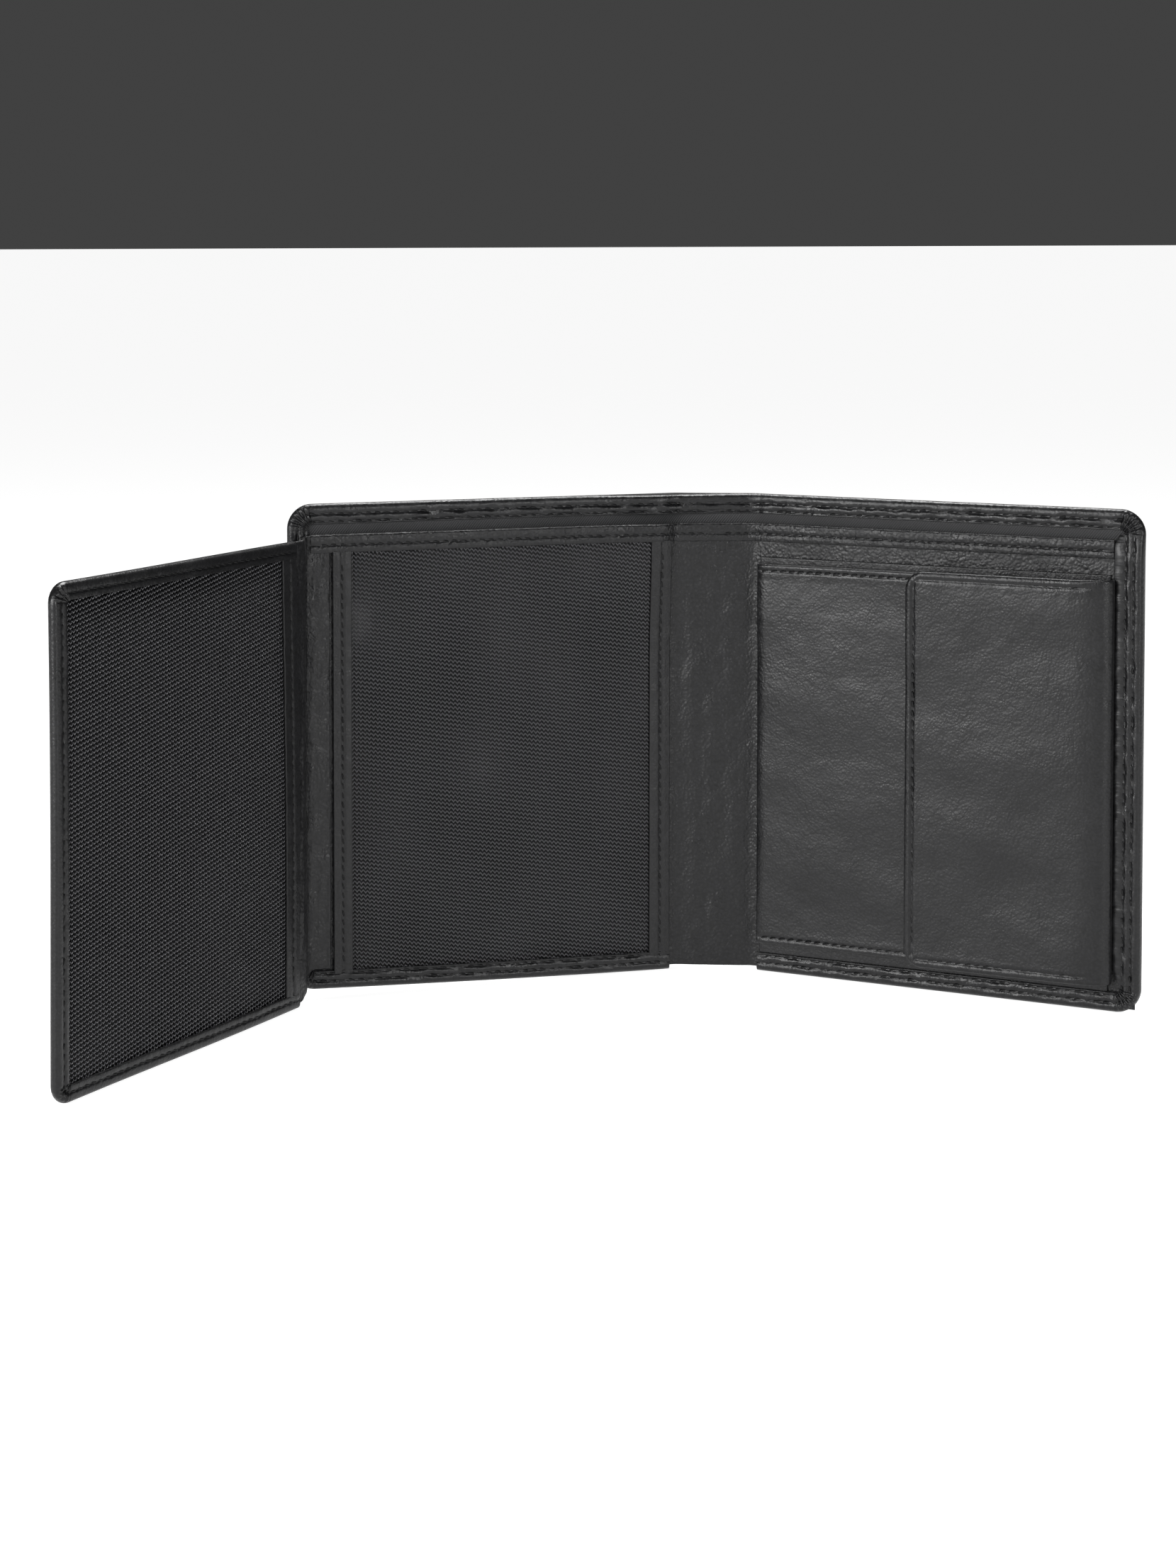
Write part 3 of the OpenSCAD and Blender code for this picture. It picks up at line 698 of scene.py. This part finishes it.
for side in ("left", "right"):
    outer = -divider["leftEnd"] if side == "left" else right(divider["rightEnd"])
    bindingOuter = outer if side == "left" else right(divider["bindingEnd"])
    top = dividerHigh - 0.75
    box = (*sorted((outer, halfway)), dividerLow, top)
    body = sheetShell(box, divider["depth"], divider["thick"], step=0.9, edge=0.35, swell=dividerWave,
                      relief=spineCreases, cut=cutSide[side])
    path = edgePath([(bindingOuter, dividerHigh), (halfway, dividerHigh)], 0, 0.7)
    path["inward"] = np.broadcast_to(np.array([0.0, -1.0]), path["at"].shape)
    onPanel = softStep((-path["at"][:, 0] - 0.5) / 5)
    face = divider["spineFace"] + (divider["leftFace"] - divider["spineFace"]) * onPanel
    profile = turnedEdge(path, face - divider["depth"], divider["binding"], (divider["row"],),
                         divider["binding"] - 0.4, bindingLook, insideFrom=0.05, hemThick=0.7, seed=35)
    profile[..., 1] += divider["depth"]
    binding = sweepShell(path, profile)
    piece = buildPiece(f"divider_{side}", [body, binding], flexLeather)
    nodes = {"left": ("left_divider", "spine_divider", "left_binding", "spine_binding"),
             "right": ("right_divider", "right_binding")}
    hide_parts(*nodes[side])
    blendFold(piece, side)
    (leftStitches if side == "left" else rightStitches).append(stitchShell(path, divider["row"], face - 0.14))
print("divider made")

net = {
    "pitch": 1.05, "rise": 1.04, "drift": 0.20,
    "phase": (0.10, 0.30, 0.52, 0.72), "sway": (0.17, 0.05, -0.22, -0.40), "lift": (0.02, 0.16, 0.20, 0.09),
    "halfWidth": 0.19, "halfHeight": 0.16, "ribbonWidth": 0.29, "ribbonPhase": 0.42, "ribbonHeight": 0.05,
}


def netShells(box, base, place):
    # level threads zigzag over upright ribbons; each thread drifts down by one row in five
    x0, x1, z0, z1 = box
    columns = int((x1 - x0) / net["pitch"])
    t = (np.arange(columns)[:, None] + np.array(net["phase"])).ravel()
    x, sway, lift = x0 + t * net["pitch"], np.tile(net["sway"], columns), np.tile(net["lift"], columns)
    draw = np.random.default_rng(41)
    fall = net["drift"] * t
    shells = []
    for row in range(int((z1 - z0 + fall[-1]) / net["rise"])):
        trend = z0 + 0.4 + row * net["rise"] - fall
        keep = (trend > z0 + 0.3) & (trend < z1 - 0.3)
        if keep.sum() < 8:
            continue
        z = trend + sway + draw.normal(0, 0.025, t.size)
        u = base + lift + draw.normal(0, 0.015, t.size)
        centres = np.stack([x, u, z], -1)[keep][None]
        level = np.broadcast_to([0.0, 0, 1], centres.shape)
        shells.append(strandShell(centres, level, net["halfWidth"], net["halfHeight"], 4, place))
    middles = x0 + (np.arange(columns) + net["ribbonPhase"]) * net["pitch"]
    z = np.linspace(z0, z1, 14)
    centres = np.stack(np.broadcast_arrays(middles[:, None], base - 0.10, z), -1)
    upright = np.broadcast_to([1.0, 0, 0], centres.shape)
    shells.append(strandShell(centres, upright, net["ribbonWidth"], net["ribbonHeight"], 4, place))
    shells[-1]["second"] = True   # the ribbons take the second finish
    return shells


idWindow = {"left": -87.0, "right": -6.0, "low": 1.6, "high": 110.6, "depth": 3.12}
idBox = (idWindow["left"], idWindow["right"], idWindow["low"], idWindow["high"])
piece = buildPiece("id_net", netShells(idBox, idWindow["depth"], flatPlace), (highlitNetYarn, shadedNetYarn))
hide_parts("id_mesh")
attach(piece, "left_panel")

strip = {"depth": 3.4, "thick": 0.7, "outer": (-88.0, -83.3), "inner": (-7.6, -2.0), "low": 3.9, "high": 108.7}


def roughEdge(x, z):
    return 0.05 * waver(x, z, 2.0, 45)


for name, node, span in (("id_strip_outer", "id_outer_strip", strip["outer"]),
                         ("id_strip_inner", "id_inner_strip", strip["inner"])):
    middle = sum(span) / 2
    line = ((middle, strip["low"] + 0.6), (middle, strip["high"] - 0.2))
    box = (*span, strip["low"], strip["high"])
    sheet = sheetShell(box, strip["depth"], strip["thick"], step=0.7, edge=0.22, swell=roughEdge, seams=[line])
    piece = buildPiece(name, sheet, pocketLeather)
    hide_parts(node)
    blendFold(piece, "left")
    leftStitches.append(stitchShell(seamPath(line), 0, strip["depth"] + strip["thick"] - 0.1))
print("window made")

wing = {
    "start": 4.5, "end": 91.5, "corner": 4.5, "thick": 2.5, "hem": 4.0, "row": 2.4, "junction": 2.45,
    "backThick": 0.8, "stripWidth": 5.4, "netDepth": 1.5, "wave": 0.12,
}
wingLook = dict(edgeLook, pleats=5, ruffle=0.08, roundOff=1.0)


def wingWave(x, z):
    return wing["wave"] * waver(x, z, 20, 51)


corners = [(wing["start"], wingLow), (wing["end"], wingLow), (wing["end"], wingHigh), (wing["start"], wingHigh)]
wingPath = edgePath(corners, wing["corner"], 0.7)
wingRoll = sweepShell(wingPath, turnedEdge(wingPath, wing["thick"], wing["hem"], (wing["row"],), wing["junction"],
                                           wingLook, insideFrom=wing["backThick"], seed=53), wingPlace)
reach = wing["junction"] - overlap
box = (wing["start"], wing["end"] - reach, wingLow + reach, wingHigh - reach)
backSheet = sheetShell(box, 0, wing["backThick"], place=wingPlace, edge=0.3,
                       radii={"right top": 2.1, "right bottom": 2.1}, swell=wingWave)
piece = buildPiece("wing_leather", [wingRoll, backSheet], coverLeather)
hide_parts("wing_back", "wing_border")
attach(piece, "wing")
wingStitches = [stitchShell(wingPath, wing["row"], wing["thick"] - 0.14, place=wingPlace),
                stitchShell(wingPath, wing["row"], 0.14, outward=-1, place=wingPlace)]

stripEnd = wing["start"] + wing["stripWidth"]
middle = wing["start"] + wing["stripWidth"] / 2
line = ((middle, wing["hem"] + 0.3), (middle, wingHigh - wing["hem"] - 0.3))
box = (wing["start"], stripEnd, wing["hem"] - 0.6, wingHigh - wing["hem"] + 0.6)
sheet = sheetShell(box, 1.8, 0.7, place=wingPlace, step=0.7, edge=0.22, swell=roughEdge, seams=[line])
piece = buildPiece("wing_strip_leather", sheet, pocketLeather)
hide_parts("wing_strip")
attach(piece, "wing")
wingStitches.append(stitchShell(seamPath(line), 0, 2.4, place=wingPlace))

netBox = (wing["start"] + 4.0, wing["end"] - 3.0, wingLow + 3.0, wingHigh - 3.0)
piece = buildPiece("wing_net", netShells(netBox, wing["netDepth"] + 0.08, wingPlace),
                   (highlitNetYarn, shadedNetYarn))
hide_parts("wing_mesh")
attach(piece, "wing")

cardSlot = {
    "thick": 0.5, "low": 4.0, "height": 51.0, "lift": 14.0, "left": 7.5, "right": 88.5, "seamInset": 1.6,
    "creaseDepth": 0.10, "creaseBelow": 2.2, "creaseWidth": 0.3,
}
for level, name in enumerate(("card_slot_back", "card_slot_middle", "card_slot_front")):
    high = cardSlot["low"] + cardSlot["height"] + (2 - level) * cardSlot["lift"]
    box = (cardSlot["left"], cardSlot["right"], cardSlot["low"], high)

    def slotCrease(x, z, inset, high=high):   # a creased line below the mouth of the slot
        fromCrease = (high - cardSlot["creaseBelow"] - z) / cardSlot["creaseWidth"]
        return -cardSlot["creaseDepth"] * np.exp(-fromCrease ** 2) + 0.05 * waver(x, z, 7, 60 + level)

    depth = -cardSlot["thick"] * (level + 1)
    sheet = sheetShell(box, depth, cardSlot["thick"], place=wingPlace, step=1.0, edge=0.24, rearRelief=slotCrease)
    piece = buildPiece(f"{name}_leather", sheet, pocketLeather)
    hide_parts(name)
    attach(piece, "wing")
    front = level == 2
    seamLeft, seamRight = cardSlot["left"] + cardSlot["seamInset"], cardSlot["right"] - cardSlot["seamInset"]
    seamLow = cardSlot["low"] + cardSlot["seamInset"]
    lines = [((s, seamLow), (s, high - 1)) for s in (seamLeft, seamRight)]
    hidden = 0 if front else high - cardSlot["lift"] - cardSlot["low"] - 2.0   # under the slot in front
    if front:
        lines.append(((seamLeft, seamLow), (seamRight, seamLow)))
    for line in lines:
        path = seamPath(line)
        wingStitches.append(stitchShell(path, 0, depth + 0.1, outward=-1, place=wingPlace,
                                        span=(hidden + 0.6, path["along"][-1] - 0.2)))
print("wing made")

hinge = {
    "thick": 0.7, "rootLow": 4.9, "rootHigh": 112.6, "wingLow": 1.0, "wingHigh": 112.0, "creases": 0.16,
    "onPanel": ((88.6, 3.25), (90.5, 3.3), (92.6, 3.35), (94.2, 3.75), (95.3, 4.8)),   # from the left fold, and depth
    "onWing": ((0.6, 1.25), (2.2, 1.35), (3.6, 1.3), (5.6, 1.2)),                      # from the hinge line, and depth
}
# the strip seen from above: flat on the panel, a ridge out to the hinge line, then flat on the wing
hingeKnots = [flatPlace(-s, u, 60.0)[:2] * 1000 for s, u in hinge["onPanel"]]
hingeKnots += [wingPlace(w, u, 60.0)[:2] * 1000 for w, u in hinge["onWing"]]
hingeAlongs, hingeLine, hingeNormal = smoothLine(hingeKnots, 1)   # its normals point away from the panel


def hingePlace(a, u, z):
    x, y, nx, ny = (np.interp(a, hingeAlongs, values) for values in (*hingeLine.T, *hingeNormal.T))
    share = softStep((a - 4) / (hingeAlongs[-1] - 6))
    low = hinge["rootLow"] + (hinge["wingLow"] - hinge["rootLow"]) * share + drape["bottomLift"] * 0.9 * (1 - share)
    high = hinge["rootHigh"] + (hinge["wingHigh"] - hinge["rootHigh"]) * share
    height = low + (high - low) * z / 100
    return np.stack(np.broadcast_arrays(x - nx * u, y - ny * u, height), -1) * millimetre


def hingeCreases(a, z, inset):
    return hinge["creases"] * (0.6 * waver(a * 2.4, z * 0.25, 2.6, 71) + 0.5 * waver(a, z, 3.0, 72))


sheet = sheetShell((0, hingeAlongs[-1], 0, 100), -hinge["thick"] / 2, hinge["thick"], place=hingePlace, step=0.6,
                   edge=0.3, swell=lambda a, z: 0.5 * hingeCreases(a, z, 0), relief=hingeCreases)
piece = buildPiece("wing_hinge", sheet, flexLeather)
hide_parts("band_root", "wing_band")
tuple(flatPlace(-94.4, 3.4, 60.0).tolist())
tuple(wingPlace(2.5, 1.0, 60.0).tolist())
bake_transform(piece)
print("hinge made")

pouch = {
    "left": 2.8, "right": 90.4, "slipDepth": 3.0, "slipThick": 0.6, "backDepth": 3.7, "backThick": 0.6,
    "backRight": 90.8, "bellowsRight": 90.6, "bellowsFold": 0.9, "facingDepth": 5.5, "facingThick": 0.38,
    "facingHeight": 8, "facingRight": 89.8, "frontDepth": 5.9, "frontThick": 0.7, "row": 1.6, "wave": 0.24,
}


def pouchWave(x, z):
    s = x - spineWidth
    side = 0.35 * np.exp(-((s - pouch["left"]) / 1.2) ** 2)    # pulled down to the bellows at its left edge
    return pouch["wave"] * waver(x * 0.7, z * 1.3, 15, 81) - side - 0.16


box = (right(pouch["left"]), right(pouch["backRight"]), slipLow, slipHigh)
sheet = sheetShell(box, pouch["slipDepth"], pouch["slipThick"], edge=0.25,
                   swell=lambda x, z: 0.06 * waver(x, z, 15, 83))
piece = buildPiece("slip_pocket_leather", sheet, pocketLeather)
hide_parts("slip_pocket")
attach(piece, "right_panel")
box = (right(pouch["left"]), right(pouch["backRight"]), pouchLow, pouchHigh)
sheet = sheetShell(box, pouch["backDepth"], pouch["backThick"], edge=0.25, step=2.5)
piece = buildPiece("pouch_back_leather", sheet, pocketLeather)
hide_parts("pouch_back")
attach(piece, "right_panel")

bellowsPath = edgePath([(right(pouch["left"]), pouchHigh - 0.6), (right(pouch["left"]), pouchLow),
                        (right(pouch["bellowsRight"]), pouchLow), (right(pouch["bellowsRight"]), pouchHigh - 0.6)],
                       1.6, 1.2)
foldDeep = pouch["bellowsFold"] + 0.12 * waver(bellowsPath["along"], 0, 9, 85)
fold = [(0.12, 4.25), (foldDeep, 5.05), (0.12, 5.95), (0.6, 5.95), (foldDeep + 0.5, 5.08), (0.6, 4.25)]
profile = outlineRows(fold, foldDeep.shape)
piece = buildPiece("pouch_bellows", sweepShell(bellowsPath, profile), pocketLeather)
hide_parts("pouch_gusset")
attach(piece, "right_panel")

box = (right(pouch["left"] + 1), right(pouch["facingRight"]), pouchHigh - pouch["facingHeight"], pouchHigh - 0.5)
sheet = sheetShell(box, pouch["facingDepth"], pouch["facingThick"], edge=0.18, step=2.0)
piece = buildPiece("pouch_mouth_facing", sheet, pocketLeather)
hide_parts("pouch_facing")
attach(piece, "right_panel")

frontRows = [((right(4), z), (right(88), z)) for z in (pouchHigh - pouch["row"], pouchLow + pouch["row"])]


def bandPuff(x, z, inset):   # the turned bands above and below the stitches stand slightly full
    bands = np.exp(-((pouchHigh - 0.75 - z) / 0.5) ** 2) + np.exp(-((z - pouchLow - 0.75) / 0.5) ** 2)
    nearBands = np.exp(-(np.minimum(pouchHigh - z, z - pouchLow) / 4) ** 2)
    return 0.07 * bands + 0.03 * waver(x, z, 1.6, 87) * nearBands


box = (right(pouch["left"]), right(pouch["right"]), pouchLow, pouchHigh)
sheet = sheetShell(box, pouch["frontDepth"], pouch["frontThick"], step=0.8, edge=0.38, swell=pouchWave,
                   relief=bandPuff, seams=frontRows)
piece = buildPiece("pouch_front_leather", sheet, coverLeather)
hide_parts("pouch_front")
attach(piece, "right_panel")
frontFace = pouch["frontDepth"] + pouch["frontThick"]
rightStitches += [stitchShell(seamPath(row), 0, frontFace - 0.2, span=(0, 44)) for row in frontRows]
print("pouch made")

flap = {   # the curve gives the distance from the right fold, and the depth: flat, then round the pouch's side
    "free": 41.8, "thick": 0.8, "middle": 7.9, "corner": 4.5, "bead": 2.0, "rowTop": 1.5, "rowBottom": 1.6,
    "curve": ((80.0, 7.9), (84.0, 7.82), (87.0, 7.5), (89.6, 6.9), (91.1, 5.9), (91.5, 4.8), (91.45, 3.9)),
    "wave": 0.24, "liningThick": 0.4, "liningWidth": 45.5,
}
flapKnots = [(s, flap["middle"]) for s in (flap["free"], 60.0, 72.0)]
flapAlongs, flapLine, flapNormal = smoothLine([*flapKnots, *flap["curve"]], -1)


def flapPlace(a, u, z):   # a is the distance from the flap's free edge, u from its middle towards the inside
    s, depth, ns, nu = (np.interp(a, flapAlongs, values) for values in (*flapLine.T, *flapNormal.T))
    return flatPlace(right(s + ns * u), depth + nu * u, z)


flapLength = flapAlongs[-1]
rowAbove, rowBelow = flapHigh - flap["rowTop"] - 0.4, flapLow + flap["rowBottom"] + 0.4
flapRows = [((flap["bead"], flapLow + 3.2), (flap["bead"], flapHigh - 3.2)),
            *(((3.4, z), (flapLength - 8, z)) for z in (rowAbove, rowBelow))]


def flapSwell(a, z):
    return flap["wave"] * waver(a * 0.8, z * 1.2, 17, 91) * softStep((flapLength - a) / 20)


def flapBead(a, z, inset):   # the turned edge stands full between the stitches and the rim
    bead = 0.14 * np.exp(-((inset - 0.95) / 0.6) ** 2) * (a < flapLength - 8)
    return bead + 0.05 * waver(a, z, 1.5, 92) * np.exp(-((inset - 2.2) / 1.4) ** 2)


radii = {"left top": flap["corner"], "left bottom": flap["corner"]}
sheet = sheetShell((0, flapLength, flapLow, flapHigh), -flap["thick"] / 2, flap["thick"], place=flapPlace,
                   step=0.75, edge=0.42, radii=radii, swell=flapSwell, relief=flapBead, seams=flapRows)
piece = buildPiece("coin_flap_leather", sheet, coverLeather)
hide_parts("flap_leather", "flap_root")
tuple(flatPlace(right(91.4), 4.8, 55.0).tolist())
tuple(flatPlace(right(89.0), 7.2, 55.0).tolist())
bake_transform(piece)
flapStitches = [stitchShell(seamPath(row), 0, flap["thick"] / 2 - 0.1, place=flapPlace) for row in flapRows]
sheet = sheetShell((0.4, flap["liningWidth"], flapLow + 0.4, flapHigh - 0.4), -flap["thick"] / 2 - flap["liningThick"],
                   flap["liningThick"], place=flapPlace, step=1.5, edge=0.18,
                   radii={"left top": 4.1, "left bottom": 4.1})
piece = buildPiece("coin_flap_lining", sheet, pocketLeather)
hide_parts("flap_lining")
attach(piece, "coin_flap")
print("flap made")

piece = buildPiece("threads_left", leftStitches, sewingThread)
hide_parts("left_threads", "spine_threads")
blendFold(piece, "left")
piece = buildPiece("threads_right", rightStitches, sewingThread)
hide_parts("right_threads")
blendFold(piece, "right")
piece = buildPiece("threads_wing", wingStitches, sewingThread)
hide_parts("wing_threads")
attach(piece, "wing")
piece = buildPiece("threads_flap", flapStitches, sewingThread)
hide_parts("flap_threads")
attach(piece, "coin_flap")
print("stitches made")

studio = {
    "floor": "#8c8c8c", "floorSize": 30.0, "floorGlow": 0.93,
    "horizon": 1.05, "ceiling": 0.2, "fadeFrom": 0.14, "fadeTo": 0.45,   # the room's light, and where it fades
    "lights": (
        # name, place, aim, size, watts
        ("key_softbox", (-0.85, -0.50, 0.30), (0.05, 0.0, 0.07), 0.4, 8),
        ("camera_softbox", (-0.55, -1.05, 0.50), (0.0, 0.0, 0.06), 0.3, 3),
        ("right_softbox", (0.35, -1.10, 0.30), (-0.04, 0.0, 0.06), 0.35, 4),
        ("top_softbox", (0.10, 0.25, 0.90), (0.0, 0.0, 0.06), 0.5, 14),
    ),
}
floorMesh = bpy.data.meshes.new("table_top")
half = studio["floorSize"] / 2
floorMesh.from_pydata([(-half, -half, 0), (half, -half, 0), (half, half, 0), (-half, half, 0)], [], [(0, 1, 2, 3)])
tableTop = bpy.data.objects.new("table_top", floorMesh)
bpy.context.scene.collection.objects.link(tableTop)
tableTop.location.z = -0.0002
# Opal acrylic sheet, lit from below: an even white under the object
opal, tree, place = startFinish("opal_acrylic", flat=False)
endFinish(tree, {"Base Color": toLinear(studio["floor"]), "Roughness": 0.6, "Specular IOR Level": 0.1,
                 "Emission Color": (1, 1, 1, 1), "Emission Strength": studio["floorGlow"]}, {})
floorMesh.materials.append(opal)

room = bpy.data.worlds.new("white_room")
room.use_nodes = True
outlook = addNode(room.node_tree, "ShaderNodeTexCoord").outputs["Generated"]
upward = addNode(room.node_tree, "ShaderNodeSeparateXYZ", links={0: outlook})
fade = addNode(room.node_tree, "ShaderNodeMapRange",
               {"From Min": studio["fadeFrom"], "From Max": studio["fadeTo"],
                "To Min": studio["horizon"], "To Max": studio["ceiling"]}, {"Value": upward.outputs["Z"]})
room.node_tree.links.new(fade.outputs[0], room.node_tree.nodes["Background"].inputs["Strength"])
bpy.context.scene.world = room
bpy.context.scene.view_settings.view_transform = "Standard"   # hex colours come out as they were picked

for name, place, aim, size, watts in studio["lights"]:
    lamp = bpy.data.lights.new(name, "AREA")
    lamp.shape, lamp.size, lamp.energy = "SQUARE", size, watts
    holder = bpy.data.objects.new(name, lamp)
    holder.location = place
    way = np.array(aim) - np.array(place)
    heading = math.atan2(way[1], way[0]) - math.pi / 2
    holder.rotation_euler = (math.acos(-way[2] / np.linalg.norm(way)), 0, heading)
    bpy.context.scene.collection.objects.link(holder)
print("studio lit")
